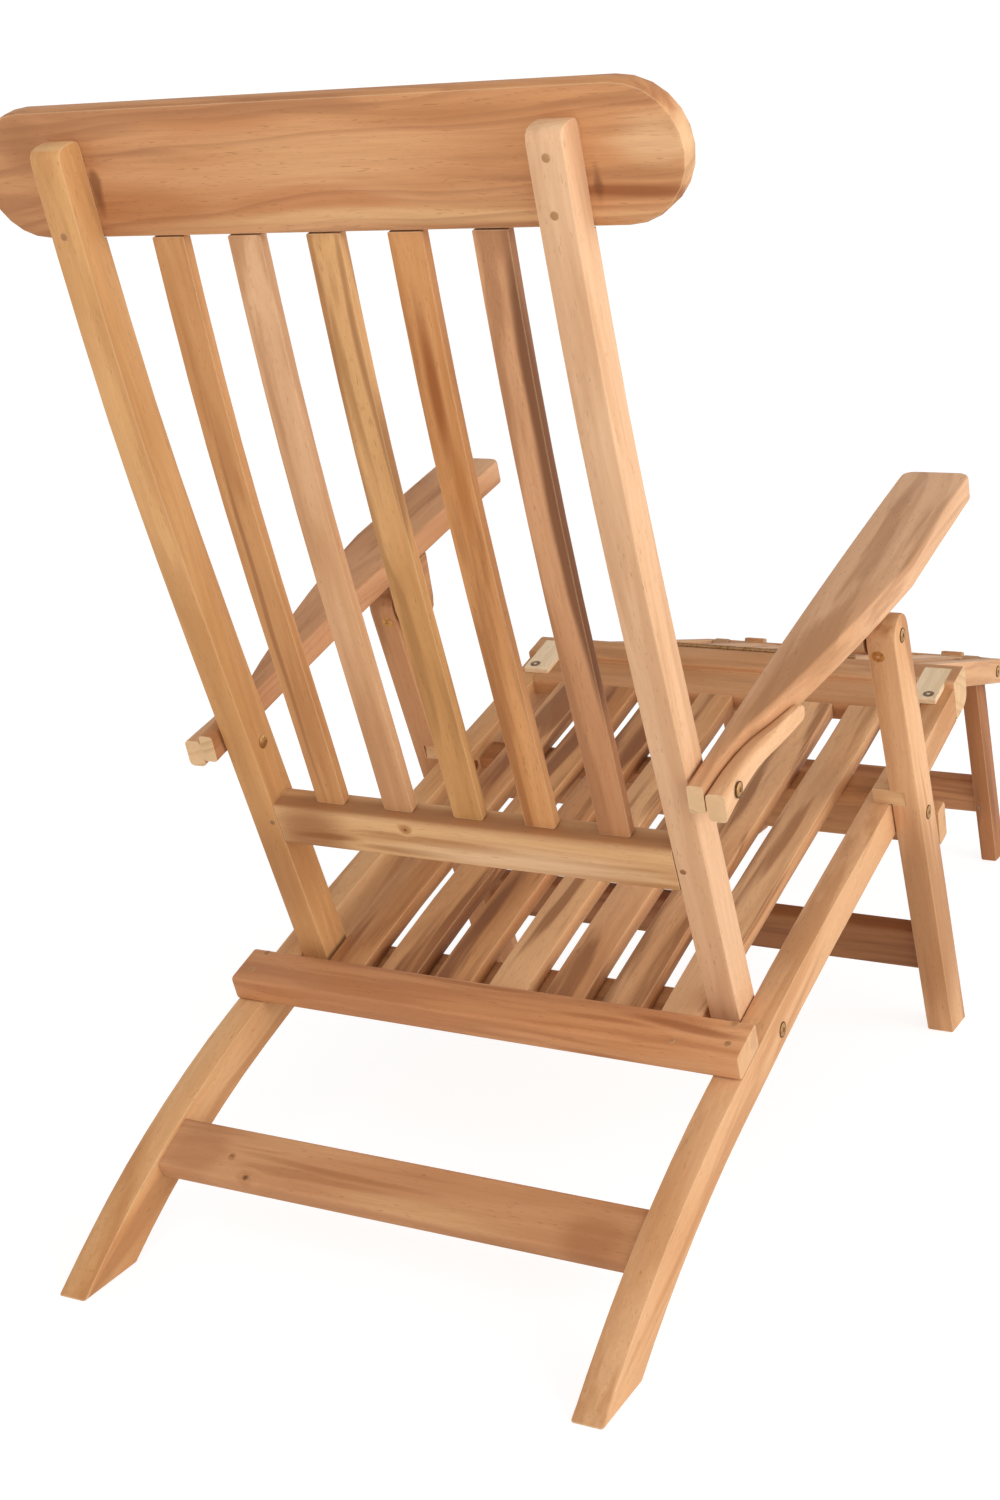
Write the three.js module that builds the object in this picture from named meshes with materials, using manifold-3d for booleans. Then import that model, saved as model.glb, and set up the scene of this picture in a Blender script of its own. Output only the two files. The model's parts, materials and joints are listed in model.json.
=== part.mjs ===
// Folding steamer deck chair in teak, opened out for use.
// Millimetres, +Z up. The sitter faces -Y and X runs across the chair.
// Side profiles are drawn in the Y-Z plane and extruded across the chair.
// The finished group is moved so that its origin lies on the floor under its middle.

import * as THREE from 'three';
import { mergeVertices } from 'three/addons/utils/BufferGeometryUtils.js';
import Module from 'manifold-3d';

const wasm = await Module();
wasm.setup();

// Clearances, overruns and edge finish
const gap = 0.3;
const sideGap = 0.8;
const overrun = 5;
const arris = 2.5;
const softArris = 4.5;
const edgeRound = 4;
const cornerSteps = 3;
const wideCornerSteps = 7;

// Side rails, each one board that bends down into the rear leg
const railFrontReach = 364;
const heelReach = 554;
const railFrontHeight = 352.5;
const railThickness = 28;
const railOuter = 255;
const railDepth = 40;
const heelDepth = 48;
const railTopShares = [
  [0, 1], [0.1242, 0.9007], [0.2656, 0.8], [0.506, 0.6167], [0.6389, 0.4976], [0.7423, 0.4006],
  [0.8292, 0.2965], [0.9008, 0.1904], [0.9607, 0.082], [1, 0], [1.0358, -0.0902],
];
const railSamples = 22;

// Seat: slats, battens, cross rails and end caps
const slatCount = 7;
const slatWidth = 40;
const slatPitch = 57.5;
const slatThickness = 17;
const slatRise = 1.5;
const slatSamples = 7;
const battenThickness = 14;
const battenWidth = 38;
const battenDrop = 1;
const middleBattenReach = 194;
const rearBattenFront = 150;
const rearBattenShoulder = 197;
const rearBattenBack = 221;
const rearBattenNotch = 6;
const crossRailPlace = 244;
const crossRailWidth = 46;
const crossRailThickness = 26;
const frontRailThickness = 42;
const frontRailHeight = 46;
const frontRailRise = 7;
const frontRailTopRound = 8;
const frontRailFootRound = 19;
const ledgeWidth = 50;
const ledgeThickness = 20;
const ledgeRise = 1;
const ledgeRound = 7;
const capFrontReach = 30;
const capRearReach = 34;
const capInner = 215;
const capOuter = 244;
const stretcherPlace = 421;
const stretcherWidth = 52;
const stretcherThickness = 20;
const stretcherSink = 4;

// Back frame, which turns on a bolt through each side rail
const backPivotReach = 168;
const backPivotHeight = 170;
const backRun = 312;
const backRise = 775;
const backLineShares = [
  [0, 0], [0.183, 0.169], [0.369, 0.341], [0.612, 0.566], [0.776, 0.73], [0.92, 0.898], [1, 1],
];
const stileThickness = 29;
const stileFootDepth = 38;
const stileTopDepth = 31;
const stileSamples = 12;
const stileTopRound = 11;
const headboardLength = 604;
const headboardHeight = 101.5;
const headboardThickness = 22;
const headboardLetIn = 3;
const headboardMiddleHeight = 917;
const headboardEndSteps = 12;
const lowerRailMiddleHeight = 344.8;
const lowerRailWidth = 45.5;
const lowerRailThickness = 28;
const backSlatCount = 5;
const backSlatWidth = 30.5;
const backSlatPitch = 70.4;
const backSlatThickness = 11;
const backSlatEndGap = 1.2;
const backSlatFootOffset = -1;
const backSlatTopSet = 2.5;
const backSlatSamples = 8;

// Arms, with their rear cleats and front pivot blocks
const armPivotHeight = 421;
const armPivotDrop = 7;
const armAboveLeg = 58;
const armInner = 229;
const armOuter = 298;
const armRearOuter = 243;
const armThickness = 26;
const armRearReach = 30;
const armFrontReach = 568;
const armCrown = 5;
const armTaperShares = [
  [0.07, 0], [0.14, 0.06], [0.208, 0.236], [0.328, 0.49], [0.434, 0.69], [0.54, 0.855], [0.65, 1],
];
const armCornerRound = 9;
const armArris = 3.2;
const armSteps = 18;
const cleatThickness = 17;
const cleatRearReach = 29;
const cleatFrontReach = 122;
const cleatFrontThickness = 9;
const cleatNose = 12;
const cleatRound = 4.5;
const cleatRearHalf = 13;
const cleatFrontHeight = 16;
const cleatFrontDrop = 19;
const cleatSteps = 12;
const cleatTaperPower = 1.6;
const cleatGap = 0.9;
const blockThickness = 24;
const blockLength = 48;

// Front legs, which turn on a bolt through each side rail
const legFootReach = 293;
const legLean = 0.4477;
const legDepth = 42;
const legThickness = 29;
const legTopHeight = 474;
const legStretcherHeight = 97;
const legStretcherWidth = 54;
const legStretcherThickness = 20;
const legStretcherSet = 7;
const stopBlockHeight = 16;
const stopBlockInset = 10;
const stopBlockDepth = 11;
const stopBlockLength = 34;
const stopRailThickness = 24;
const stopRailHeight = 40;

// Leg rest, hinged to the front rail, with its own folding legs
const restSlope = 11.5;
const restRise = 1;
const restLength = 391;
const restHalfWidth = 200;
const restRailThickness = 22;
const restRailDepth = 30;
const restRailRound = 12;
const restCrossThickness = 19;
const restFrontDepth = 18;
const restFrontThickness = 17;
const restSlatCount = 5;
const restSlatWidth = 50;
const restSlatPitch = 62;
const restSlatThickness = 16;
const restSlatSink = 1;
const restGap = 3.2;
const restPivotReach = 750.5;
const restLegFootReach = 864;
const restLegDepth = 35;
const restLegThickness = 21;
const restStretcherHeight = 97;
const restStretcherWidth = 51;
const restStretcherThickness = 18;
const heelStopWidth = 28;
const heelStopHeight = 5;
const heelStopPlace = 133;
const hingeLength = 260;
const hingeBarrelRadius = 2.8;
const hingeRise = 3.2;
const hingeLeafThickness = 2;
const hingeLeafHeight = 26;

// Brass barrel bolts
const boltRadius = 4;
const boltHeadRadius = 6.2;
const boltHeadHeight = 1.2;
const boltSides = 14;
const boltDomeShare = 0.7;

// Places across the chair, from the middle outwards
const railInner = railOuter - railThickness;
const stileOuter = railInner - sideGap;
const stileInner = stileOuter - stileThickness;
const legInner = railOuter + sideGap;
const legOuter = legInner + legThickness;
const restRailInner = restHalfWidth - restRailThickness;
const restLegOuter = restRailInner - sideGap;
const restLegInner = restLegOuter - restLegThickness;

const axisX = new THREE.Vector3(1, 0, 0);
const point = (y, z) => new THREE.Vector2(y, z);

// Colours of the two finishes
const teakTones = [0xc99668, 0xd2a071, 0xc08a5c, 0xd9a877, 0xb97f55];
const brassColour = 0xb08a45;
let toneTurn = 0;

function teak() {
  toneTurn += 1;
  const color = teakTones[toneTurn % teakTones.length];
  return new THREE.MeshStandardMaterial({ color, roughness: 0.62, metalness: 0 });
}

function brass() {
  return new THREE.MeshStandardMaterial({ color: brassColour, roughness: 0.35, metalness: 1 });
}

// Solids and geometries
function toSolid(geometry) {
  const bare = geometry.clone();
  bare.deleteAttribute('normal');
  bare.deleteAttribute('uv');
  const merged = mergeVertices(bare);
  const vertProperties = new Float32Array(merged.attributes.position.array);
  const triVerts = new Uint32Array(merged.index.array);
  return new wasm.Manifold(new wasm.Mesh({ numProp: 3, vertProperties, triVerts }));
}

function toGeometry(solid) {
  const mesh = solid.getMesh();
  const geometry = new THREE.BufferGeometry();
  geometry.setAttribute('position', new THREE.BufferAttribute(mesh.vertProperties, 3));
  geometry.setIndex(new THREE.BufferAttribute(mesh.triVerts, 1));
  geometry.computeVertexNormals();
  return geometry;
}

function cut(geometry, tools) {
  const solid = tools.reduce((left, tool) => left.subtract(toSolid(tool)), toSolid(geometry));
  return toGeometry(solid);
}

// Extrusion of an outline along one axis of a frame, with rounded arrises
function extrude(outline, basis, from, to, round) {
  const shape = new THREE.Shape(outline);
  const geometry = new THREE.ExtrudeGeometry(shape, {
    depth: to - from - 2 * round,
    bevelEnabled: round > 0,
    bevelThickness: round,
    bevelSize: round,
    bevelOffset: -round,
    bevelSegments: 2,
    steps: 1,
  });
  geometry.translate(0, 0, from + round);
  geometry.applyMatrix4(basis);
  return geometry;
}

const acrossBasis = new THREE.Matrix4().makeBasis(
  new THREE.Vector3(0, 1, 0),
  new THREE.Vector3(0, 0, 1),
  axisX,
);

function across(outline, from, to, round = arris) {
  return extrude(outline, acrossBasis, from, to, round);
}

// A round bar across the chair, used as a bolt hole or a hinge barrel
function barAcross(centre, radius, from, to) {
  const geometry = new THREE.CylinderGeometry(radius, radius, to - from, boltSides);
  geometry.rotateZ(-Math.PI / 2);
  geometry.translate((from + to) / 2, centre.x, centre.y);
  return geometry;
}

function boltHole(centre, from, to) {
  return barAcross(centre, boltRadius + gap, from - overrun, to + overrun);
}

// Bolt turned about X: a domed head outside, a shank, and a smaller domed nut inside when asked for
function boltBody(centre, innerFace, outerFace, hasNut) {
  const dome = boltHeadHeight * boltDomeShare;
  const headRim = boltHeadHeight - dome;
  const headStart = outerFace + gap;
  const profile = [];
  if (hasNut) {
    const nutStart = innerFace - gap;
    profile.push(new THREE.Vector2(0, nutStart - boltHeadHeight));
    profile.push(new THREE.Vector2(boltHeadRadius * boltDomeShare, nutStart - boltHeadHeight));
    profile.push(new THREE.Vector2(boltHeadRadius, nutStart - headRim));
    profile.push(new THREE.Vector2(boltHeadRadius, nutStart));
    profile.push(new THREE.Vector2(boltRadius, nutStart));
  } else {
    profile.push(new THREE.Vector2(0, innerFace));
    profile.push(new THREE.Vector2(boltRadius, innerFace));
  }
  profile.push(new THREE.Vector2(boltRadius, headStart));
  profile.push(new THREE.Vector2(boltHeadRadius, headStart));
  profile.push(new THREE.Vector2(boltHeadRadius, headStart + headRim));
  profile.push(new THREE.Vector2(boltHeadRadius * boltDomeShare, headStart + boltHeadHeight));
  profile.push(new THREE.Vector2(0, headStart + boltHeadHeight));
  const geometry = new THREE.LatheGeometry(profile, boltSides);
  geometry.rotateZ(-Math.PI / 2);
  geometry.translate(0, centre.x, centre.y);
  return geometry;
}

// Left and right copies; the left side is +X, the sitter's left
const chair = new THREE.Group();

function addPiece(name, geometry, material) {
  const mesh = new THREE.Mesh(geometry, material);
  mesh.name = name;
  chair.add(mesh);
}

function mirrored(geometry) {
  const copy = mergeVertices(geometry.clone().deleteAttribute('uv').deleteAttribute('normal'));
  copy.scale(-1, 1, 1);
  const order = copy.index.array;
  for (let i = 0; i < order.length; i += 3) {
    const first = order[i];
    order[i] = order[i + 1];
    order[i + 1] = first;
  }
  copy.computeVertexNormals();
  return copy;
}

function addPair(name, geometry, material) {
  addPiece(`${name}_left`, geometry, material());
  addPiece(`${name}_right`, mirrored(geometry), material());
}

// Outlines
function roundCorners(corners, radii) {
  const outline = [];
  corners.forEach((corner, i) => {
    const before = corners[(i + corners.length - 1) % corners.length];
    const after = corners[(i + 1) % corners.length];
    const radius = Array.isArray(radii) ? radii[i] : radii;
    if (radius === 0) {
      outline.push(corner.clone());
      return;
    }
    const start = corner.clone().add(before.clone().sub(corner).setLength(radius));
    const end = corner.clone().add(after.clone().sub(corner).setLength(radius));
    const bend = new THREE.QuadraticBezierCurve(start, corner, end);
    outline.push(...bend.getPoints(radius > armCornerRound ? wideCornerSteps : cornerSteps));
  });
  return outline;
}

// Keeps the part of an outline that lies above the floor, as a saw cuts a sole
function cutAtFloor(outline) {
  const kept = [];
  outline.forEach((here, i) => {
    const next = outline[(i + 1) % outline.length];
    if (here.y >= 0) {
      kept.push(here);
    }
    if ((here.y >= 0) !== (next.y >= 0)) {
      kept.push(here.clone().lerp(next, here.y / (here.y - next.y)));
    }
  });
  return kept;
}

function arcAround(centre, radius, fromAngle, toAngle, steps) {
  const points = [];
  for (let i = 0; i <= steps; i += 1) {
    const angle = fromAngle + ((toAngle - fromAngle) * i) / steps;
    points.push(point(centre.x + radius * Math.cos(angle), centre.y + radius * Math.sin(angle)));
  }
  return points;
}

// A frame in the side plane: a point, a direction along and the direction square to it
function frameAt(curve, t) {
  const along = curve.getTangent(t);
  return { point: curve.getPoint(t), along, up: point(along.y, -along.x) };
}

function place(frame, along, up) {
  return frame.point.clone().addScaledVector(frame.along, along).addScaledVector(frame.up, up);
}

function slab(frame, alongFrom, alongTo, upFrom, upTo) {
  return [
    place(frame, alongFrom, upFrom), place(frame, alongTo, upFrom),
    place(frame, alongTo, upTo), place(frame, alongFrom, upTo),
  ];
}

// Where a curve that runs one way in a coordinate reaches a value of it
function reach(curve, axis, value) {
  let low = 0;
  let high = 1;
  const rising = curve.getPoint(1)[axis] > curve.getPoint(0)[axis];
  while (high - low > Number.EPSILON * overrun) {
    const middle = (low + high) / 2;
    if ((curve.getPoint(middle)[axis] < value) === rising) {
      low = middle;
    } else {
      high = middle;
    }
  }
  return (low + high) / 2;
}

function strip(curve, fromT, toT, samples, lower, upper) {
  const below = [];
  const above = [];
  for (let i = 0; i <= samples; i += 1) {
    const share = i / samples;
    const frame = frameAt(curve, fromT + (toT - fromT) * share);
    below.push(place(frame, 0, lower(share)));
    above.push(place(frame, 0, upper(share)));
  }
  return [...below, ...above.reverse()];
}

const mix = (from, to, share) => from + (to - from) * share;

// The line along the top of the side rails, from the front end to the heel
const railSpan = railFrontReach + heelReach;
const railTop = new THREE.SplineCurve(railTopShares.map(
  ([along, height]) => point(railSpan * along - railFrontReach, railFrontHeight * height),
));
// A spline that runs towards +Y has its upper side at -up, so heights above the rail are negated
const railFrame = (y) => {
  const frame = frameAt(railTop, reach(railTop, 'x', y));
  return { point: frame.point, along: frame.along, up: frame.up.negate() };
};
const railCentre = (y) => place(railFrame(y), 0, -railDepth / 2);

// Pivots in the side plane
const backPivot = point(backPivotReach, backPivotHeight);
const backLine = new THREE.SplineCurve(backLineShares.map(
  ([run, rise]) => point(backPivotReach + backRun * run, backPivotHeight + backRise * rise),
));
const backFrame = (z) => {
  const frame = frameAt(backLine, reach(backLine, 'y', z));
  return { point: frame.point, along: frame.along, up: frame.up };
};
const armPivot = backFrame(armPivotHeight).point;

const legAngle = Math.atan(legLean);
const legFrame = {
  point: point(-legFootReach, 0),
  along: point(Math.sin(legAngle), Math.cos(legAngle)),
  up: point(Math.cos(legAngle), -Math.sin(legAngle)),
};
const legTop = place(legFrame, legTopHeight / Math.cos(legAngle), 0);

// The leg bolt lies where the leg's middle line crosses the middle of the side rail
function crossingOfLegAndRail() {
  let low = -railFrontReach;
  let high = 0;
  for (let i = 0; i < 40; i += 1) {
    const middle = (low + high) / 2;
    const centre = railCentre(middle);
    const legPlace = centre.y * legLean - legFootReach;
    if (centre.x < legPlace) {
      low = middle;
    } else {
      high = middle;
    }
  }
  return railCentre((low + high) / 2);
}
const legPivot = crossingOfLegAndRail();

// Side rails
function railGeometry() {
  const depth = (share) => -mix(railDepth, heelDepth, share * share);
  const points = [];
  const lower = [];
  for (let i = 0; i <= railSamples; i += 1) {
    const share = i / railSamples;
    const frame = frameAt(railTop, share);
    frame.up.negate();
    points.push(frame.point);
    lower.push(place(frame, 0, depth(share)));
  }
  const outline = cutAtFloor([...points, ...lower.reverse()]);
  const rail = across(outline, railInner, railOuter);
  return cut(rail, [
    boltHole(backPivot, railInner, railOuter),
    boltHole(legPivot, railInner, railOuter),
  ]);
}
addPair('side_rail', railGeometry(), teak);

// Rear cross rail, on top of the side rails
const crossRailFrame = railFrame(crossRailPlace);
const crossRailOutline = roundCorners(
  slab(crossRailFrame, -crossRailWidth / 2, crossRailWidth / 2, gap, gap + crossRailThickness),
  edgeRound,
);
addPiece('rear_cross_rail', across(crossRailOutline, -railOuter, railOuter), teak());

// Stretcher between the rear legs
const stretcherFrame = railFrame(stretcherPlace);
const stretcherOutline = roundCorners(
  slab(
    stretcherFrame, -stretcherWidth / 2, stretcherWidth / 2,
    -stretcherSink - stretcherThickness, -stretcherSink,
  ),
  edgeRound,
);
addPiece('rear_leg_stretcher', across(stretcherOutline, gap - railInner, railInner - gap, 0), teak());

// Seat slats follow the line of the side rails between the cross rail and the front rail
const frontFrame = railFrame(-railFrontReach);
const slatRearFrame = railFrame(crossRailPlace - crossRailWidth / 2 - overrun);
function seatSlatOutline() {
  const from = reach(railTop, 'x', place(frontFrame, ledgeWidth + gap, 0).x);
  const to = reach(railTop, 'x', slatRearFrame.point.x);
  const outline = [];
  const lower = [];
  for (let i = 0; i <= slatSamples; i += 1) {
    const frame = frameAt(railTop, mix(from, to, i / slatSamples));
    frame.up.negate();
    outline.push(place(frame, 0, slatRise));
    lower.push(place(frame, 0, slatRise - slatThickness));
  }
  return [...outline, ...lower.reverse()];
}
const slatOutline = seatSlatOutline();
for (let i = 0; i < slatCount; i += 1) {
  const middle = ((slatCount - 1) / 2 - i) * slatPitch;
  const geometry = across(slatOutline, middle - slatWidth / 2, middle + slatWidth / 2);
  addPiece(`seat_slat_${i + 1}`, geometry, teak());
}

// Battens under the slats; the rear one is notched around the feet of the back frame
const battenTop = slatRise - slatThickness - battenDrop;
const middleBattenOutline = roundCorners(
  slab(
    railFrame(-middleBattenReach), -battenWidth / 2, battenWidth / 2,
    battenTop - battenThickness, battenTop,
  ),
  arris,
);
addPiece('seat_batten_middle', across(middleBattenOutline, gap - railInner, railInner - gap, 0), teak());

const rearBattenFrame = railFrame((rearBattenFront + rearBattenBack) / 2);
const battenHalf = (rearBattenBack - rearBattenFront) / 2;
const shoulder = rearBattenShoulder - (rearBattenFront + rearBattenBack) / 2;
const notchInner = stileInner - rearBattenNotch;
const battenEnd = railInner - gap;
const rearBattenPlan = [
  point(-notchInner, -battenHalf), point(notchInner, -battenHalf), point(notchInner, shoulder),
  point(battenEnd, shoulder), point(battenEnd, battenHalf), point(-battenEnd, battenHalf),
  point(-battenEnd, shoulder), point(-notchInner, shoulder),
];
const rearBattenBasis = new THREE.Matrix4().makeBasis(
  axisX,
  new THREE.Vector3(0, rearBattenFrame.along.x, rearBattenFrame.along.y),
  new THREE.Vector3(0, rearBattenFrame.up.x, rearBattenFrame.up.y),
).setPosition(0, rearBattenFrame.point.x, rearBattenFrame.point.y);
addPiece(
  'seat_batten_rear',
  extrude(rearBattenPlan, rearBattenBasis, battenTop - battenThickness, battenTop, 0),
  teak(),
);

// Front rail across the ends of the side rails, with a ledge between them for the slats' ends
const frontRailFace = -gap - frontRailThickness;
const frontRailFoot = frontRailRise - frontRailHeight;
const frontRailOutline = roundCorners(
  slab(frontFrame, frontRailFace, -gap, frontRailFoot, frontRailRise),
  [frontRailFootRound, edgeRound, arris, frontRailTopRound],
);
const ledgeOutline = roundCorners(
  slab(frontFrame, frontRailFace / 2, ledgeWidth, ledgeRise - ledgeThickness, ledgeRise),
  [0, arris, ledgeRound, 0],
);
const capSeat = slab(
  frontFrame, -capFrontReach - gap, capRearReach, gap / 2, frontRailRise + overrun,
);
const bareFrontRail = toSolid(across(frontRailOutline, -railOuter, railOuter, arris / 2))
  .add(toSolid(across(ledgeOutline, gap - railInner, railInner - gap, 0)));
addPiece('seat_front_rail', cut(toGeometry(bareFrontRail), [
  across(capSeat, capInner - gap, capOuter + gap, 0),
  across(capSeat, -capOuter - gap, gap - capInner, 0),
]), teak());

// Caps over the joints, let into the top of the front rail
const capOutline = roundCorners(
  slab(frontFrame, -capFrontReach, capRearReach, gap + gap / 2, frontRailRise),
  [0, 0, arris, 0],
);
addPair('rail_cap', across(capOutline, capInner, capOuter, 0), teak);

// Stop rail under the side rails, just ahead of the front legs
const railAtLeg = railFrame(legPivot.x);
const legCrossFrame = { point: legPivot, along: railAtLeg.along, up: railAtLeg.up };

// Where an edge of the leg lies along the side rail, at a height square to the rail from the pivot
function legEdgeAt(side, height) {
  const edge = legFrame.up.clone().multiplyScalar((side * legDepth) / 2);
  const along = (height - edge.dot(legCrossFrame.up)) / legFrame.along.dot(legCrossFrame.up);
  return edge.addScaledVector(legFrame.along, along).dot(legCrossFrame.along);
}
const stopRailTop = -railDepth / 2 - gap;
const stopRailRear = legEdgeAt(-1, stopRailTop - stopRailHeight) - sideGap;
const stopRailOutline = roundCorners(
  slab(
    legCrossFrame, stopRailRear - stopRailThickness, stopRailRear,
    stopRailTop - stopRailHeight, stopRailTop,
  ),
  edgeRound,
);
addPiece('seat_stop_rail', across(stopRailOutline, -legOuter, legOuter), teak());

// Headboard: a board with half-round ends, let a little way into the stiles
const headFrame = backFrame(headboardMiddleHeight);
const headBack = -stileTopDepth / 2 + headboardLetIn;
const headHalf = headboardHeight / 2;
const headStraight = headboardLength / 2 - headHalf;
const headboardPlan = [
  ...arcAround(point(headStraight, 0), headHalf, -Math.PI / 2, Math.PI / 2, headboardEndSteps),
  ...arcAround(point(-headStraight, 0), headHalf, Math.PI / 2, Math.PI * 1.5, headboardEndSteps),
];
const headBasis = new THREE.Matrix4().makeBasis(
  axisX,
  new THREE.Vector3(0, headFrame.along.x, headFrame.along.y),
  new THREE.Vector3(0, -headFrame.up.x, -headFrame.up.y),
).setPosition(0, headFrame.point.x, headFrame.point.y);
addPiece(
  'headboard',
  extrude(headboardPlan, headBasis, -headBack, headboardThickness - headBack, softArris),
  teak(),
);

// Stiles: bowed, deeper at the foot, round at the pivot and at the top
function stileGeometry() {
  const depthAt = (share) => mix(stileFootDepth, stileTopDepth, share) / 2;
  const rear = [];
  const front = [];
  for (let i = 0; i <= stileSamples; i += 1) {
    const share = i / stileSamples;
    const frame = frameAt(backLine, share);
    rear.push(place(frame, 0, depthAt(share)));
    front.push(place(frame, 0, -depthAt(share)));
  }
  const footTurn = Math.atan2(rear[0].y - backPivot.y, rear[0].x - backPivot.x);
  const foot = arcAround(backPivot, stileFootDepth / 2, footTurn - Math.PI, footTurn, cornerSteps * 3);
  const top = [rear[stileSamples], front[stileSamples]];
  const body = [...foot.slice(1, -1), ...rear.slice(0, -1)];
  const topBend = top.map((corner, i) => {
    const inward = (i === 0 ? top[1] : top[0]).clone().sub(corner).setLength(stileTopRound);
    const neighbour = i === 0 ? rear[stileSamples - 1] : front[stileSamples - 1];
    const down = neighbour.clone().sub(corner).setLength(stileTopRound);
    const ends = [corner.clone().add(down), corner.clone().add(inward)];
    const bend = new THREE.QuadraticBezierCurve(ends[i], corner, ends[1 - i]);
    return bend.getPoints(cornerSteps);
  });
  const outline = [...body, ...topBend.flat(), ...front.slice(0, -1).reverse()];
  const stile = across(outline, stileInner, stileOuter);
  const housing = slab(
    headFrame, -headHalf - gap, headHalf + gap, headBack - headboardThickness, headBack + gap,
  );
  return cut(stile, [
    boltHole(backPivot, stileInner, stileOuter),
    boltHole(armPivot, stileInner, stileOuter),
    across(housing, stileInner - overrun, stileOuter + overrun, 0),
  ]);
}
addPair('back_stile', stileGeometry(), teak);

// Lower back rail between the stiles, flush with their rear edges
const lowerFrame = backFrame(lowerRailMiddleHeight);
const lowerRear = stileFootDepth / 2 - arris / 2;
const lowerRailOutline = roundCorners(
  slab(
    lowerFrame, -lowerRailWidth / 2, lowerRailWidth / 2,
    lowerRear - lowerRailThickness, lowerRear,
  ),
  edgeRound,
);
addPiece('lower_back_rail', across(lowerRailOutline, gap - stileInner, stileInner - gap, 0), teak());

// Back slats, from the lower rail up to the headboard, with a slight bow
function backSlatOutline() {
  const lowerTop = place(lowerFrame, lowerRailWidth / 2 + gap, 0);
  const headFoot = place(headFrame, -headHalf - backSlatEndGap, 0);
  const from = reach(backLine, 'y', lowerTop.y);
  const to = reach(backLine, 'y', headFoot.y);
  const footOffset = -backSlatFootOffset;
  const topOffset = headBack - headboardThickness / 2 + backSlatTopSet;
  const offset = (share) => mix(footOffset, topOffset, share);
  return strip(
    backLine, from, to, backSlatSamples,
    (share) => offset(share) - backSlatThickness / 2,
    (share) => offset(share) + backSlatThickness / 2,
  );
}
const backSlat = backSlatOutline();
for (let i = 0; i < backSlatCount; i += 1) {
  const middle = ((backSlatCount - 1) / 2 - i) * backSlatPitch;
  const geometry = across(backSlat, middle - backSlatWidth / 2, middle + backSlatWidth / 2, arris);
  addPiece(`back_slat_${i + 1}`, geometry, teak());
}

// Arms: wide at the front, drawn in towards the stile, with a slight crown
// The arm slopes so that it runs at a set height over the tops of the front legs
const armSpan = legTop.clone().sub(armPivot);
const armTurn = Math.PI - armSpan.angle() + Math.asin((armAboveLeg - armPivotDrop) / armSpan.length());
const armFrame = {
  along: point(Math.cos(armTurn), -Math.sin(armTurn)),
  up: point(Math.sin(armTurn), Math.cos(armTurn)),
};
armFrame.point = armPivot.clone().addScaledVector(armFrame.up, armPivotDrop);
const armLength = armFrontReach + armRearReach;
const armTaper = new THREE.SplineCurve(armTaperShares.map(
  ([along, out]) => point(armRearReach - armLength * along, mix(armRearOuter, armOuter, out)),
));

// How far out the arm's outer edge lies at a distance along it
function armEdgeAt(along) {
  const first = armTaper.getPoint(0);
  const last = armTaper.getPoint(1);
  if (along < first.x && along > last.x) {
    return armTaper.getPoint(reach(armTaper, 'x', along)).y;
  }
  return along > first.x ? first.y : last.y;
}

function outerEdge(fromAlong, toAlong, steps) {
  const points = [];
  for (let i = 0; i <= steps; i += 1) {
    const along = mix(fromAlong, toAlong, i / steps);
    points.push(point(armEdgeAt(along), along));
  }
  return points;
}

const armMatrix = new THREE.Matrix4().makeBasis(
  axisX,
  new THREE.Vector3(0, armFrame.along.x, armFrame.along.y),
  new THREE.Vector3(0, armFrame.up.x, armFrame.up.y),
).setPosition(0, armFrame.point.x, armFrame.point.y);

// Height of the crown at a distance along the arm, none at its pivot
function crownAt(along) {
  const share = (armRearReach - along) / armLength;
  const pivotShare = armRearReach / armLength;
  const bow = (s) => 4 * s * (1 - s);
  return armCrown * (bow(share) - bow(pivotShare));
}

// Skin over matching cross-sections, closed by a fan at each end
function loft(sections) {
  const sides = sections[0].length;
  const corners = sections.flat();
  const faces = [];
  for (let i = 0; i + 1 < sections.length; i += 1) {
    for (let j = 0; j < sides; j += 1) {
      const here = i * sides + j;
      const beside = i * sides + ((j + 1) % sides);
      faces.push(here, beside, here + sides, beside, beside + sides, here + sides);
    }
  }
  const last = (sections.length - 1) * sides;
  for (let j = 1; j + 1 < sides; j += 1) {
    faces.push(0, j + 1, j, last, last + j, last + j + 1);
  }
  const geometry = new THREE.BufferGeometry().setFromPoints(corners);
  geometry.setIndex(faces);
  geometry.computeVertexNormals();
  return geometry;
}

// Cross-section of the arm: a rectangle with rounded corners between its inner and outer edges
function armSection(inner, outer, along) {
  const half = armThickness / 2;
  const rim = roundCorners(
    [point(inner, -half), point(outer, -half), point(outer, half), point(inner, half)],
    armArris,
  );
  return rim.map(({ x, y }) => new THREE.Vector3(x, along, y + crownAt(along)));
}

function armGeometry() {
  const sections = [];
  const edge = outerEdge(armRearReach, armCornerRound - armFrontReach, armSteps);
  edge.forEach(({ x: out, y: along }) => sections.push(armSection(armInner, out, along)));
  for (let i = 1; i <= cornerSteps + 1; i += 1) {
    const turn = (Math.PI * i) / (cornerSteps + 1) / 2;
    const drawn = armCornerRound * (1 - Math.cos(turn));
    const along = armCornerRound * (1 - Math.sin(turn)) - armFrontReach;
    sections.push(armSection(armInner + drawn, armOuter - drawn, along));
  }
  const arm = loft(sections);
  arm.applyMatrix4(armMatrix);
  return cut(arm, [boltHole(armPivot, armInner, armRearOuter)]);
}
addPair('arm', armGeometry(), teak);

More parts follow.
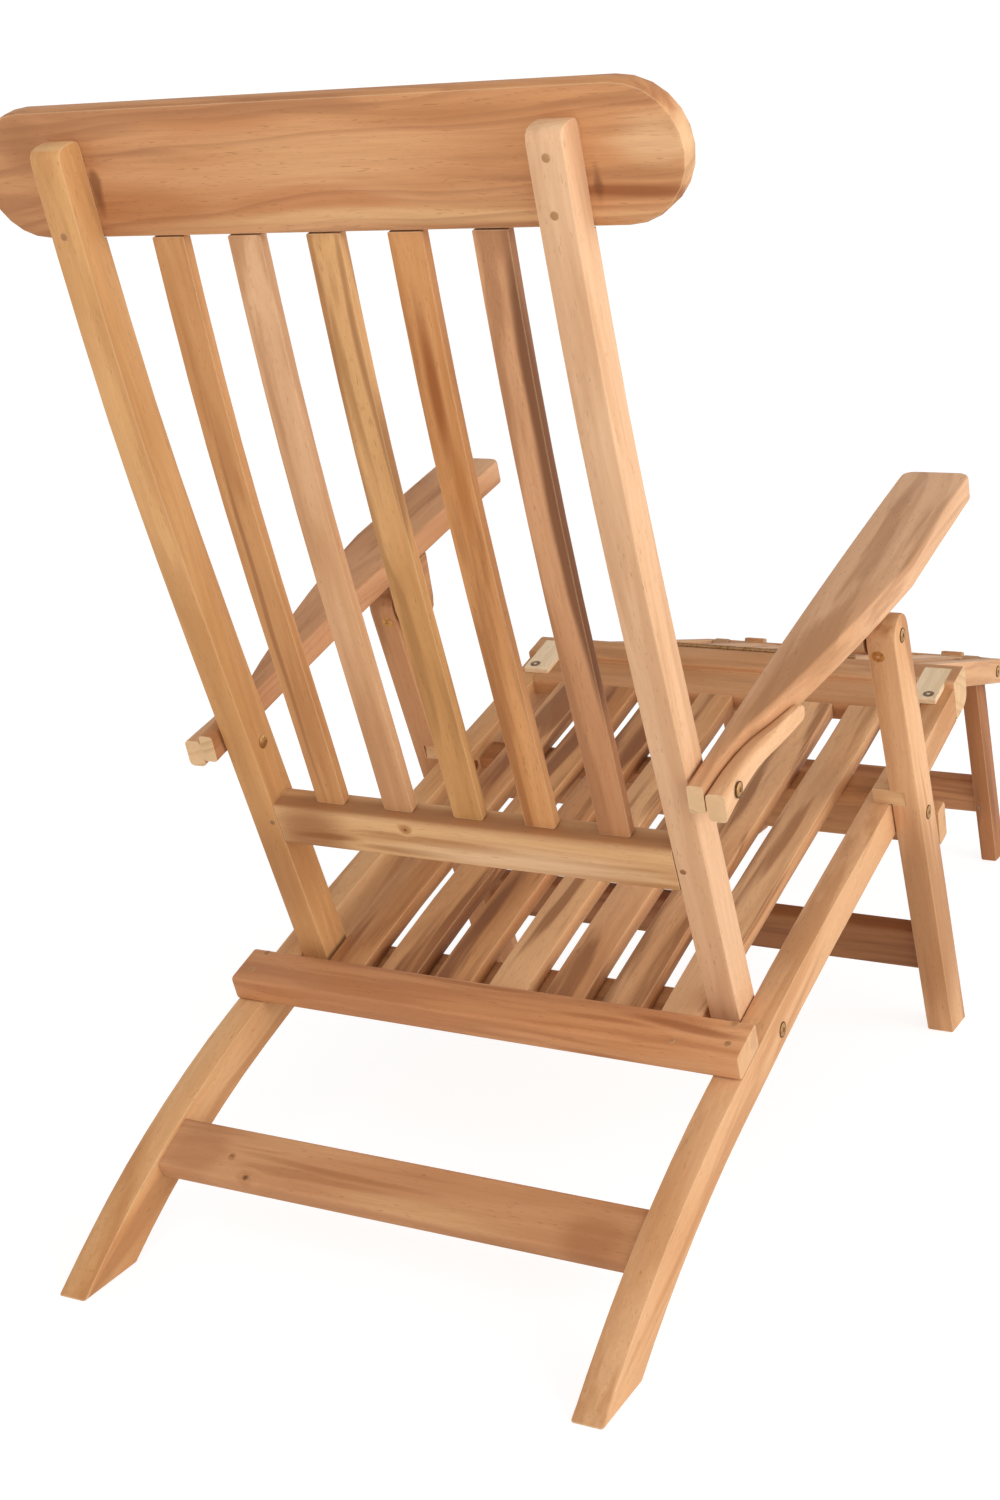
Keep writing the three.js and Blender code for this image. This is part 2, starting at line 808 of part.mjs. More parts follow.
// Rear cleats: a curved band along the arm's outer edge that thins to a rounded nose in front
function cleatGeometry() {
  const edge = outerEdge(cleatRearReach, -cleatFrontReach, cleatSteps);
  const rearTop = cleatRearHalf - armPivotDrop;
  const rearBottom = -cleatRearHalf - armPivotDrop;
  const frontTop = cleatFrontHeight - cleatFrontDrop;
  const frontBottom = -cleatFrontDrop;
  const section = (along, share, inset) => {
    const inner = armEdgeAt(along) + cleatGap;
    const outer = inner + mix(cleatThickness, cleatFrontThickness, share);
    const top = mix(rearTop, frontTop, share ** cleatTaperPower);
    const bottom = mix(rearBottom, frontBottom, share);
    const rim = roundCorners([
      point(inner, bottom + inset), point(outer - inset / 2, bottom + inset),
      point(outer - inset / 2, top - inset), point(inner, top - inset),
    ], Math.min(cleatRound, (outer - inner) / 3));
    return rim.map(({ x, y }) => new THREE.Vector3(x, along, y + crownAt(along)));
  };
  const sections = edge.map(({ y: along }, i) => section(along, i / cleatSteps, 0));
  for (let i = 1; i <= cornerSteps; i += 1) {
    const turn = (Math.PI * i) / (cornerSteps + 1) / 2;
    const inset = (cleatFrontHeight / 2) * (1 - Math.cos(turn));
    sections.push(section(-cleatFrontReach - cleatNose * Math.sin(turn), 1, inset));
  }
  const body = loft(sections);
  body.applyMatrix4(armMatrix);
  const cleatReach = armRearOuter + cleatGap + cleatThickness;
  return cut(body, [boltHole(armPivot, armRearOuter, cleatReach)]);
}
addPair('arm_cleat', cleatGeometry(), teak);

// Front pivot blocks, hung under the arms inside the front legs
function armBlockGeometry() {
  const radius = legDepth / 2;
  const local = legTop.clone().sub(armFrame.point);
  const along = local.dot(armFrame.along);
  const under = (a) => place(armFrame, a, crownAt(a) - armThickness / 2 - gap);
  const halfLength = blockLength / 2;
  const turn = Math.atan2(-armFrame.along.y, armFrame.along.x);
  const round = arcAround(legTop, radius, -Math.PI - turn, -turn, cornerSteps * 2);
  const rearEnd = under(along + halfLength);
  const frontEnd = under(along - halfLength);
  const outline = [frontEnd, ...round, rearEnd];
  const block = across(outline, armInner + gap, armInner + gap + blockThickness, arris / 2);
  return cut(block, [boltHole(legTop, armInner, armInner + gap + blockThickness)]);
}
addPair('arm_block', armBlockGeometry(), teak);

// Front legs: straight, round at the top, cut flat at the floor, notched for the stop block
const stopBlockFoot = railDepth / 2 + gap;
const stopBlockRear = legEdgeAt(1, stopBlockFoot);
const stopBlockFront = stopBlockRear - stopBlockDepth;
const stopBlockTop = stopBlockFoot + stopBlockHeight;
const stopBlockOutline = slab(
  legCrossFrame, stopBlockFront, stopBlockRear, stopBlockFoot, stopBlockTop,
);
const stopBlockInner = railInner + stopBlockInset;
const stopBlockOuter = stopBlockInner + stopBlockLength;
const stopNotchOutline = slab(
  legCrossFrame, stopBlockFront - gap, stopBlockRear + stopBlockHeight,
  stopBlockFoot - gap, stopBlockTop + gap,
);

function frontLegGeometry() {
  const half = legDepth / 2;
  const frontFoot = place(legFrame, -legDepth, -half);
  const rearFoot = place(legFrame, -legDepth, half);
  const topArc = arcAround(legTop, half, -legAngle, Math.PI - legAngle, cornerSteps * 3);
  const outline = cutAtFloor([frontFoot, rearFoot, ...topArc]);
  const leg = across(outline, legInner, legOuter);
  return cut(leg, [
    boltHole(legPivot, legInner, legOuter),
    boltHole(legTop, legInner, legOuter),
    across(stopNotchOutline, legInner - overrun, stopBlockOuter + gap, 0),
  ]);
}
addPair('front_leg', frontLegGeometry(), teak);
addPair('leg_stop_block', across(stopBlockOutline, stopBlockInner, stopBlockOuter, arris / 2), teak);

// Stretcher between the front legs
const legStretcherMiddle = legStretcherHeight / Math.cos(legAngle);
const legStretcherOutline = roundCorners(
  slab(
    legFrame, legStretcherMiddle - legStretcherWidth / 2, legStretcherMiddle + legStretcherWidth / 2,
    -legStretcherSet - legStretcherThickness / 2, legStretcherThickness / 2 - legStretcherSet,
  ),
  edgeRound,
);
addPiece('front_leg_stretcher', across(legStretcherOutline, gap - legInner, legInner - gap, 0), teak());

// Leg rest frame: along runs forwards and down, up is square to the slats
const restTurn = THREE.MathUtils.degToRad(restSlope);
const restStart = place(frontFrame, frontRailFace, restRise);
const restFrame = {
  point: restStart,
  along: point(-Math.cos(restTurn), -Math.sin(restTurn)),
  up: point(-Math.sin(restTurn), Math.cos(restTurn)),
};
const restPivotAlong = (restPivotReach + restStart.x) / Math.cos(restTurn);
const restPivot = place(restFrame, restPivotAlong, -restRailDepth / 2);
const restEnd = restGap + restLength;

// The rear end is cut to the same slant as the face of the front rail
const slant = -frontFrame.up.dot(restFrame.along) / frontFrame.up.dot(restFrame.up);
const slanted = (from, to, depth) => [
  place(restFrame, from + slant * depth, -depth), place(restFrame, to, -depth),
  place(restFrame, to, 0), place(restFrame, from, 0),
];

function restRailGeometry() {
  const outline = roundCorners(
    slanted(restGap, restEnd, restRailDepth),
    [0, restRailRound, restRailRound, 0],
  );
  const rail = across(outline, restRailInner, restHalfWidth);
  return cut(rail, [boltHole(restPivot, restRailInner, restHalfWidth)]);
}
addPair('rest_rail', restRailGeometry(), teak);

const restCrossEnd = restRailInner - gap;
const restRearEnd = restGap + slant * restRailDepth + restCrossThickness;
const restRearOutline = slanted(restGap, restRearEnd, restRailDepth);
addPiece('rest_rear_rail', across(restRearOutline, -restCrossEnd, restCrossEnd), teak());

// The front rail of the rest carries two small heel stops on its top
function restFrontGeometry() {
  const outline = roundCorners(
    slab(restFrame, restEnd - restFrontThickness, restEnd, -restFrontDepth, 0),
    arris,
  );
  const rail = toSolid(across(outline, -restCrossEnd, restCrossEnd, 0));
  const stopOutline = slab(
    restFrame, restEnd - restFrontThickness + arris, restEnd - arris,
    -heelStopHeight, heelStopHeight,
  );
  const stops = [-heelStopPlace, heelStopPlace].map((middle) => toSolid(
    across(stopOutline, middle - heelStopWidth / 2, middle + heelStopWidth / 2, arris),
  ));
  return toGeometry(stops.reduce((left, stop) => left.add(stop), rail));
}
addPiece('rest_front_rail', restFrontGeometry(), teak());

const restSlatOutline = slab(
  restFrame, restRearEnd + gap, restEnd - restFrontThickness - gap,
  -restSlatSink - restSlatThickness, -restSlatSink,
);
for (let i = 0; i < restSlatCount; i += 1) {
  const middle = ((restSlatCount - 1) / 2 - i) * restSlatPitch;
  const geometry = across(restSlatOutline, middle - restSlatWidth / 2, middle + restSlatWidth / 2);
  addPiece(`rest_slat_${i + 1}`, geometry, teak());
}

// Folding legs of the leg rest
const restFoot = point(-restLegFootReach, 0);
const restLegAlong = restPivot.clone().sub(restFoot).normalize();
const restLegFrame = { point: restFoot, along: restLegAlong, up: point(restLegAlong.y, -restLegAlong.x) };
function restLegGeometry() {
  const half = restLegDepth / 2;
  const turn = Math.atan2(restLegAlong.y, restLegAlong.x);
  const topArc = arcAround(restPivot, half, turn - Math.PI / 2, turn + Math.PI / 2, cornerSteps * 3);
  const outline = cutAtFloor([
    place(restLegFrame, -restLegDepth, -half), place(restLegFrame, -restLegDepth, half), ...topArc,
  ]);
  const leg = across(outline, restLegInner, restLegOuter);
  return cut(leg, [boltHole(restPivot, restLegInner, restLegOuter)]);
}
addPair('rest_leg', restLegGeometry(), teak);

const restStretcherMiddle = restStretcherHeight / restLegAlong.y;
const restStretcherOutline = roundCorners(
  slab(
    restLegFrame, restStretcherMiddle - restStretcherWidth / 2,
    restStretcherMiddle + restStretcherWidth / 2,
    -restStretcherThickness / 2, restStretcherThickness / 2,
  ),
  edgeRound,
);
addPiece('rest_leg_stretcher', across(restStretcherOutline, gap - restLegInner, restLegInner - gap, 0), teak());

// Hinge of the leg rest: a barrel over the joint and a leaf down the front rail
function hingeGeometry() {
  const leafFrame = {
    point: restStart,
    along: frontFrame.along,
    up: frontFrame.up,
  };
  const barrelCentre = place(leafFrame, -hingeBarrelRadius - gap, hingeRise);
  const leaf = slab(
    leafFrame, -gap - hingeLeafThickness, -gap, hingeRise - hingeLeafHeight, hingeRise,
  );
  const half = hingeLength / 2;
  const barrel = toSolid(barAcross(barrelCentre, hingeBarrelRadius, -half, half));
  return toGeometry(barrel.add(toSolid(across(leaf, -half, half, 0))));
}
addPiece('rest_hinge', hingeGeometry(), brass());

// Pivot bolts
addPair('back_pivot_bolt', boltBody(backPivot, stileInner, railOuter, true), brass);
addPair('leg_pivot_bolt', boltBody(legPivot, railInner, legOuter, true), brass);
addPair('arm_rear_bolt', boltBody(armPivot, stileInner, armRearOuter + cleatGap + cleatThickness, true), brass);
addPair('arm_front_bolt', boltBody(legTop, legInner, legOuter, false), brass);
addPair('rest_leg_bolt', boltBody(restPivot, restLegInner, restHalfWidth, true), brass);

// The origin is on the floor under the middle of the opened chair
chair.updateMatrixWorld(true);
const extent = new THREE.Box3().setFromObject(chair);
chair.position.y = -(extent.min.y + extent.max.y) / 2;

export default chair;
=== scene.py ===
import json
import math
import random

import bmesh
import bpy
from mathutils import Matrix, Vector

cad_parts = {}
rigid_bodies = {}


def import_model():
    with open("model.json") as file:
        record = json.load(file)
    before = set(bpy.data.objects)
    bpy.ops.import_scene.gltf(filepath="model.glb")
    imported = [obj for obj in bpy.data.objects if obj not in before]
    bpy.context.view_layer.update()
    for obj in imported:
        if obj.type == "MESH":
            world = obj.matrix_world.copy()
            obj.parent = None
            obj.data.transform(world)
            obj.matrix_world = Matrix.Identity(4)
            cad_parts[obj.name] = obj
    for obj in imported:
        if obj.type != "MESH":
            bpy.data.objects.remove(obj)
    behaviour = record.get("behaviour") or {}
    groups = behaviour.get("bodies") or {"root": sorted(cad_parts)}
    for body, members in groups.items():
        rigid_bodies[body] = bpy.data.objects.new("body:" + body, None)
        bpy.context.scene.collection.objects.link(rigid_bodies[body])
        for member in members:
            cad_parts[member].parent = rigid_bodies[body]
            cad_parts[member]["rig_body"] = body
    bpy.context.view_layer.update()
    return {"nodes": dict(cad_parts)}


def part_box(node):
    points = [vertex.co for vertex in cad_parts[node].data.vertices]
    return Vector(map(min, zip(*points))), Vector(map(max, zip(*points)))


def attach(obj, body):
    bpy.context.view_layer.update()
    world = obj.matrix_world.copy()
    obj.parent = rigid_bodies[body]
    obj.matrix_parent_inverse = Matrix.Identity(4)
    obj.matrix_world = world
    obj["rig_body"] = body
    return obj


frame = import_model()
nodes = frame["nodes"]


# Side rails and rear legs
# Each is one thick teak board, band-sawn to a long bend that runs down into the rear leg.
# The grain runs straight through the board, so it slants across the lower leg. Arrises are
# sanded round and the whole chair is left without oil or varnish.


class Tone:
    """One value on the wood or metal; arithmetic on it adds Math nodes."""

    def __init__(self, recipe, socket):
        self.recipe = recipe
        self.socket = socket

    def math(self, operation, *values):
        made = self.recipe.add("ShaderNodeMath", {"operation": operation}, dict(enumerate(values)))
        return Tone(self.recipe, made.outputs[0])

    def __add__(self, other):
        return self.math("ADD", self, other)

    def __radd__(self, other):
        return self.math("ADD", other, self)

    def __sub__(self, other):
        return self.math("SUBTRACT", self, other)

    def __rsub__(self, other):
        return self.math("SUBTRACT", other, self)

    def __mul__(self, other):
        return self.math("MULTIPLY", self, other)

    def __rmul__(self, other):
        return self.math("MULTIPLY", other, self)

    def __truediv__(self, other):
        return self.math("DIVIDE", self, other)

    def __pow__(self, other):
        return self.math("POWER", self, other)


class Recipe:
    """A tree of nodes; add() makes any of them from its type, its settings and its sockets."""

    def __init__(self, tree):
        self.tree = tree

    def add(self, kind, settings=None, sockets=None):
        made = self.tree.nodes.new(kind)
        for name, value in (settings or {}).items():
            setattr(made, name, value)
        for name, value in (sockets or {}).items():
            self.feed(made.inputs[name], value)
        return made

    def feed(self, socket, value):
        if isinstance(value, Tone):
            self.tree.links.new(value.socket, socket)
        elif isinstance(value, bpy.types.NodeSocket):
            self.tree.links.new(value, socket)
        else:
            socket.default_value = value

    def tone(self, socket):
        return Tone(self, socket)

    def noise(self, place, detail=2.0, roughness=0.5):
        made = self.add(
            "ShaderNodeTexNoise",
            {"noise_dimensions": "3D"},
            {"Vector": place, "Scale": 1.0, "Detail": detail, "Roughness": roughness},
        )
        return self.tone(made.outputs["Fac"])

    def step(self, value, low, high):
        made = self.add(
            "ShaderNodeMapRange",
            {"interpolation_type": "SMOOTHSTEP", "clamp": True},
            {"Value": value, "From Min": low, "From Max": high, "To Min": 0.0, "To Max": 1.0},
        )
        return self.tone(made.outputs["Result"])

    def place(self, x, y, z):
        made = self.add("ShaderNodeCombineXYZ", None, {0: x, 1: y, 2: z})
        return made.outputs[0]

    def blend(self, share, first, second, way="MIX"):
        made = self.add(
            "ShaderNodeMix",
            {"data_type": "RGBA", "blend_type": way},
            {0: share, 6: first, 7: second},
        )
        return made.outputs[2]

    def measure(self, operation, first, second):
        made = self.add("ShaderNodeVectorMath", {"operation": operation}, {0: first, 1: second})
        return self.tone(made.outputs["Value"])

    def dot(self, vector, direction):
        return self.measure("DOT_PRODUCT", vector, direction)

    def distance(self, place, point):
        return self.measure("DISTANCE", place, point)


class Finish(Recipe):
    """The recipe of a material, or of the room's light, with the shader it ends in."""

    def __init__(self, material, shader="Principled BSDF"):
        material.use_nodes = True
        super().__init__(material.node_tree)
        self.material = material
        self.shader = self.tree.nodes[shader]

    def shade(self, values):
        for name, value in values.items():
            self.feed(self.shader.inputs[name], value)


def linear(hex_color):
    """A colour written as on screen, turned into the renderer's linear light."""
    parts = [int(hex_color[i : i + 2], 16) / 255 for i in (0, 2, 4)]
    return (*[p / 12.92 if p <= 0.04045 else ((p + 0.055) / 1.055) ** 2.4 for p in parts], 1.0)


def teak(
    name, grain, seed, light, mid, dark, streak=0.5, figure=0.15, end=0.35, knots=(), stains_and_shade=()
):
    """Bare teak: soft streaks along the grain, faint growth rings, fibres, pores and end grain.

    A knot is (heart, radius). A stain is (heart, reach along the grain and the two ways
    across it, tone, share); some stains are painted shade rather than the wood's own colour.
    """
    chance = random.Random(seed)
    finish = Finish(bpy.data.materials.new(name))
    along = Vector(grain).normalized()
    through = Vector((1, 0, 0)) if abs(along.x) < 0.5 else Vector((0, -0.3, 0.95))
    across = through.cross(along).normalized()
    through = along.cross(across).normalized()
    spot = finish.add("ShaderNodeTexCoord").outputs
    u, v, w = (finish.dot(spot["Object"], way) for way in (along, across, through))
    shift = [chance.uniform(-40, 40) for _ in range(6)]

    def streaks(cells, side, depth, start, detail, roughness=0.5):
        """Noise drawn out along the grain; cells counts it per metre along and across."""
        long, wide = cells
        place = finish.place(u * long + start[0], side * wide + start[1], depth * wide + start[2])
        return finish.noise(place, detail, roughness)

    grain_bend, knot_push, knot_reach = 0.05, 0.02, 7
    sway = streaks((2.4, 8), v, w, shift[0:3], 2.0)
    lean = (sway - 0.5) * grain_bend
    v_bent = v + lean
    w_bent = w + lean * 0.6
    knots = [(finish.distance(spot["Object"], Vector(heart)), size) for heart, size in knots]
    for away, size in knots:
        near = 1 - finish.step(away, 0.0, size * knot_reach)
        v_bent = v_bent + near * near * knot_push

    broad = streaks((2.8, 46), v_bent, w_bent, shift[3:6], 3.0)
    fine = streaks((7, 210), v_bent, w_bent, (shift[1], shift[2], shift[0]), 3.0, 0.55)
    fibre = streaks((30, 950), v, w, (shift[2], shift[5], 0), 2.0, 0.6)
    dash = streaks((100, 900), v, w, (shift[4], shift[3], 0), 1.0)
    pore = finish.step(dash, 0.63, 0.72) * finish.step(fine, 0.35, 0.6)

    # Growth rings stand round a pith outside the board, which leans a little in the log.
    log_lean, ring_waver = 0.06, 0.006
    turn = chance.uniform(0, 2 * math.pi)
    pith = chance.uniform(0.05, 0.12)
    rise = v_bent - (u * chance.uniform(-log_lean, log_lean) + pith * math.cos(turn))
    run = w_bent - (u * chance.uniform(-log_lean, log_lean) + pith * math.sin(turn))
    ring_width = chance.uniform(0.007, 0.012)
    phase = ((rise * rise + run * run) ** 0.5 + broad * ring_waver) / ring_width
    ring = phase.math("FRACT", phase)
    late = finish.step(ring, 0.1, 0.86) * (1 - finish.step(ring, 0.86, 1.0))
    clear = finish.noise(finish.place(phase * 0.45 + shift[3], u * 1.7, shift[4]), 1.0)
    late = late * finish.step(clear, 0.46, 0.66)

    color = finish.blend(finish.step(sway, 0.4, 0.6), linear(light), linear(mid))
    color = finish.blend(finish.step(broad, 0.49, 0.62) * streak, color, linear(dark))
    pale = 1 - finish.step(broad, 0.38, 0.48)
    color = finish.blend(pale * streak * 0.8, color, linear(light))
    for heart, (length, depth, width), tone, share in stains_and_shade:
        du = (u - Vector(heart).dot(along)) / length
        dv = (v_bent - Vector(heart).dot(across)) / depth
        dw = (w_bent - Vector(heart).dot(through)) / width
        reach = (du * du + dv * dv + dw * dw) ** 0.5 + (broad - 0.5) * 1.4 + (sway - 0.5)
        color = finish.blend((1 - finish.step(reach, 0.35, 1.15)) * share, color, linear(tone))
    fine_dust, pore_brown, knot_heart = linear("B58860"), linear("7A4E2A"), linear("5A3519")
    color = finish.blend(late * figure, color, linear(dark))
    color = finish.blend((1 - fine) * 0.34, color, fine_dust, "MULTIPLY")
    color = finish.blend((1 - finish.step(fibre, 0.3, 0.5)) * 0.16, color, linear(dark))
    color = finish.blend(pore * 0.34, color, pore_brown)
    for away, size in knots:
        near = away + (fine - 0.5) * 0.006
        rim = 1 - finish.step(near, size * 0.5, size * 3.4)
        core = 1 - finish.step(near, size * 0.4, size * 1.1)
        color = finish.blend(rim * 0.55, color, linear(dark))
        color = finish.blend(core * 0.8, color, knot_heart)

    facing = finish.dot(spot["Normal"], along)
    cut = finish.step(facing.math("ABSOLUTE", facing), 0.78, 0.95)
    sawn = finish.blend(late * 0.4 + (1 - fibre) * 0.3, linear("E2C093"), linear("B58A5E"))
    color = finish.blend(cut * end, color, sawn)

    # Arrises are painted paler where the rounded normal leaves the true face: partly wear, partly
    # a painted highlight along the edge.
    arris_radius, arris_wear_and_highlight = 0.0016, linear("F0D2AA")
    arris_bevel = finish.add("ShaderNodeBevel", {"samples": 4}, {"Radius": arris_radius})
    true_face = finish.add("ShaderNodeNewGeometry").outputs["Normal"]
    edge_wear_and_highlight = 1 - finish.step(finish.dot(arris_bevel.outputs[0], true_face), 0.93, 0.99)
    color = finish.blend(edge_wear_and_highlight * 0.38, color, arris_wear_and_highlight)

    height = fine * 0.5 + fibre * 0.35 - late * 0.2 - pore * 0.5
    bump = finish.add(
        "ShaderNodeBump", None, {"Height": height, "Strength": 0.22, "Distance": 0.0004}
    )
    finish.shade(
        {
            "Base Color": color,
            "Roughness": 0.54 + fine * 0.2 + pore * 0.1,
            "Specular IOR Level": 0.25,
            "Normal": bump.outputs[0],
        }
    )
    return finish.material


weld_gap, sharp_angle = 0.00002, math.radians(34)
smoothing = Recipe(bpy.data.node_groups.new("sanded_smooth", "GeometryNodeTree"))
for way in ("INPUT", "OUTPUT"):
    smoothing.tree.interface.new_socket(
        "Geometry", in_out=way, socket_type="NodeSocketGeometry"
    )
entry = smoothing.add("NodeGroupInput")
welded = smoothing.add(
    "GeometryNodeMergeByDistance", None, {"Geometry": entry.outputs[0], "Distance": weld_gap}
)
fold = smoothing.add("GeometryNodeInputMeshEdgeAngle").outputs["Unsigned Angle"]
sharp = smoothing.add("ShaderNodeMath", {"operation": "GREATER_THAN"}, {0: fold, 1: sharp_angle})
opened = smoothing.add(
    "GeometryNodeSplitEdges", None, {"Mesh": welded.outputs[0], "Selection": sharp.outputs[0]}
)
rounded = smoothing.add("GeometryNodeSetShadeSmooth", None, {"Geometry": opened.outputs[0]})
smoothing.add("NodeGroupOutput", None, {0: rounded.outputs[0]})


def sand(piece):
    """Shades a piece smoothly over its rounded arrises; sharp edges stay sharp."""
    smooth = piece.modifiers.new("sanded", "NODES")
    smooth.node_group = smoothing.tree


def dress(name, material):
    """Gives a solid its finish and sands it."""
    piece = nodes[name]
    piece.data.materials.clear()
    piece.data.materials.append(material)
    sand(piece)
    return piece


rail_grain = (0, 0.92, -0.39)
dress(
    "side_rail_left",
    teak("rail_left_teak", rail_grain, 11, "DFB07E", "CE9660", "B57A48", streak=0.45),
)
dress(
    "side_rail_right",
    teak("rail_right_teak", rail_grain, 12, "DDAC7E", "CB9362", "B47A48", streak=0.5),
)


# Rear cross rail and rear stretcher
# Two teak planks tie the rear legs together. The upper one lies on the side rails behind
# the back frame and is screwed down, with a turned teak plug over each screw. The lower
# one is tenoned between the legs.
cross_grain = (1, 0, 0)
dress(
    "rear_cross_rail",
    teak(
        "cross_rail_teak",
        cross_grain,
        21,
        "D8A274",
        "CA8E5E",
        "AC7046",
        streak=0.55,
        stains_and_shade=[
            ((-0.185, 0.414, 0.194), (0.070, 0.006, 0.05), "8E5028", 0.7),
            ((-0.120, 0.424, 0.190), (0.060, 0.004, 0.05), "9C5E34", 0.6),
            ((0.020, 0.402, 0.198), (0.130, 0.004, 0.05), "9E6238", 0.6),
            ((0.170, 0.400, 0.198), (0.080, 0.007, 0.05), "A4673C", 0.55),
        ],
    ),
)
dress(
    "rear_leg_stretcher",
    teak(
        "rear_stretcher_teak",
        cross_grain,
        22,
        "D29D70",
        "C58D60",
        "A56D44",
        streak=0.5,
        knots=[((0.1368, 0.6028, 0.0778), 0.0035), ((0.1606, 0.5866, 0.0867), 0.0012)],
        stains_and_shade=[
            ((0.050, 0.586, 0.090), (0.100, 0.05, 0.003), "9A6238", 0.5),
            ((-0.041, 0.594, 0.080), (0.110, 0.05, 0.009), "D8A878", 0.6),
            ((0.110, 0.580, 0.105), (0.080, 0.05, 0.008), "D2A070", 0.6),
            ((-0.190, 0.593, 0.080), (0.035, 0.05, 0.030), "A2683E", 0.6),
            ((0.195, 0.590, 0.090), (0.030, 0.05, 0.030), "AA7046", 0.5),
        ],
    ),
)


def turned(name, profile, centre, outward, body, material):
    """A small round piece turned from (radius, height) pairs, standing along outward."""
    facets = 24
    turns = [2 * math.pi * i / facets for i in range(facets)]
    shape = bmesh.new()
    rings = []
    for radius, height in profile:
        around = [(radius * math.cos(turn), radius * math.sin(turn), height) for turn in turns]
        rings.append([shape.verts.new(at) for at in (around if radius else [(0, 0, height)])])
    for lower, upper in zip(rings, rings[1:]):
        for i in range(facets):
            j = (i + 1) % facets
            loop = ((lower, i), (lower, j), (upper, j), (upper, i))
            corners = [ring[k % len(ring)] for ring, k in loop]
            shape.faces.new(list(dict.fromkeys(corners)))
    bmesh.ops.recalc_face_normals(shape, faces=shape.faces)
    turn = Vector(outward).normalized().to_track_quat("Z", "Y").to_matrix().to_4x4()
    place = Matrix.Translation(Vector(centre)) @ turn
    bmesh.ops.transform(shape, matrix=place, verts=shape.verts)
    mesh = bpy.data.meshes.new(name)
    shape.to_mesh(mesh)
    shape.free()
    mesh.polygons.foreach_set("use_smooth", [True] * len(mesh.polygons))
    piece = bpy.data.objects.new(name, mesh)
    bpy.context.scene.collection.objects.link(piece)
    mesh.materials.append(material)
    sand(piece)
    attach(piece, body)
    return piece


plug_tones = ("B58658", "A2724A", "7E5230")
both_sides = (("left", 1), ("right", -1))


def plug(name, centre, outward, body, radius=0.0034, tones=plug_tones):
    """A teak plug glued over a screw and sanded nearly flush, darker than the board round it."""
    crown, rim, foot = 0.0004, 0.0001, -0.0015
    profile = [(0, crown), (radius * 0.8, crown), (radius, rim), (radius, foot), (0, foot)]
    wood = teak(f"{name}_teak", outward, sum(map(ord, name)), *tones, end=0.0)
    return turned(name, profile, centre, outward, body, wood)


top_face = (0, 0.33, 0.94)
for side, sign in both_sides:
    plug(f"cross_plug_outer_{side}", (sign * 0.2378, 0.4005, 0.1986), top_face, "seat_frame")
    plug(f"cross_plug_rear_{side}", (sign * 0.2405, 0.4240, 0.1904), top_face, "seat_frame")
plug("cross_plug_inner_right", (-0.1920, 0.4307, 0.1881), top_face, "seat_frame", 0.0026)


# Seat: slats, battens and front rail
# Seven long teak slats follow the bend of the side rails, tenoned into the front rail and
# screwed from below to two battens. Slats differ in colour, as they come from different
# boards.
seat_grain = (0, 0.95, -0.31)
slat_tones = [
    ("DAA674", "C08856", "8A5430"),
    ("D6A06C", "B97E4C", "824C2A"),
    ("CE9664", "B27846", "7A4828"),
    ("E4B280", "C8905E", "905A32"),
    ("E2AE7E", "CA9262", "8E5A36"),
    ("E6B484", "D09A6A", "905E38"),
    ("E8B888", "D29E6E", "9C663C"),
]
for i, tones in enumerate(slat_tones):
    dress(
        f"seat_slat_{i + 1}",
        teak(f"seat_slat_{i + 1}_teak", seat_grain, 31 + i, *tones, streak=0.75, figure=0.25),
    )
dress("seat_batten_rear", teak("rear_batten_teak", cross_grain, 41, "CB9766", "B98052", "96603A"))
dress(
    "seat_batten_middle",
    teak("middle_batten_teak", cross_grain, 42, "C8905F", "B27748", "8E5833"),
)
dress(
    "seat_front_rail",
    teak("front_rail_teak", cross_grain, 43, "D8A67A", "C89262", "A67048", end=0.7),
)
dress("seat_stop_rail", teak("stop_rail_teak", cross_grain, 44, "C99566", "B98155", "98643C"))
for i, (side, _) in enumerate(both_sides):
    dress(
        f"rail_cap_{side}",
        teak(f"cap_{side}_teak", seat_grain, 45 + i, "FCE9C8", "F5DDB8", "E0C298", streak=0.3),
    )


# Back frame: stiles, lower rail and slats
# Two bowed stiles carry the back. The lower rail is tenoned between them near the seat, and
# five slim slats run from it up to the headboard, each with the bow of the stiles.
back_grain = (0, 0.37, 0.93)
dress(
    "back_stile_left",
    teak(
        "stile_left_teak",
        back_grain,
        51,
        "E0AD74",
        "D19B62",
        "BA8450",
        streak=0.4,
        # Painted shade: a darker patch at the low end of the stile, where less light reaches.
        stains_and_shade=[((0.215, 0.410, 0.290), (0.080, 0.08, 0.05), "AA7446", 0.6)],
    ),
)
dress(
    "back_stile_right",
    teak("stile_right_teak", back_grain, 52, "E5BA92", "D9AA80", "C49268", streak=0.4),
)
dress(
    "lower_back_rail",
    teak(
        "lower_rail_teak",
        cross_grain,
        53,
        "E6BC88",
        "D6A674",
        "A9713F",
        streak=0.6,
        knots=[((0.061, 0.4298, 0.3486), 0.0022)],
        stains_and_shade=[
            # Painted shade: the dark patches on the left part (x 0.060 to 0.165) and the long dark
            # band along the top (z 0.362) stand in for shade on the rail's top face.
            ((0.150, 0.425, 0.334), (0.040, 0.05, 0.004), "8E5628", 0.75),
            ((0.060, 0.425, 0.328), (0.060, 0.05, 0.003), "9A622F", 0.6),
            ((-0.070, 0.423, 0.332), (0.150, 0.05, 0.014), "F0CCA2", 0.85),
            ((0.165, 0.423, 0.338), (0.045, 0.05, 0.030), "965E32", 0.7),
            ((0.000, 0.418, 0.362), (0.400, 0.05, 0.010), "94603A", 0.8),
        ],
    ),
)
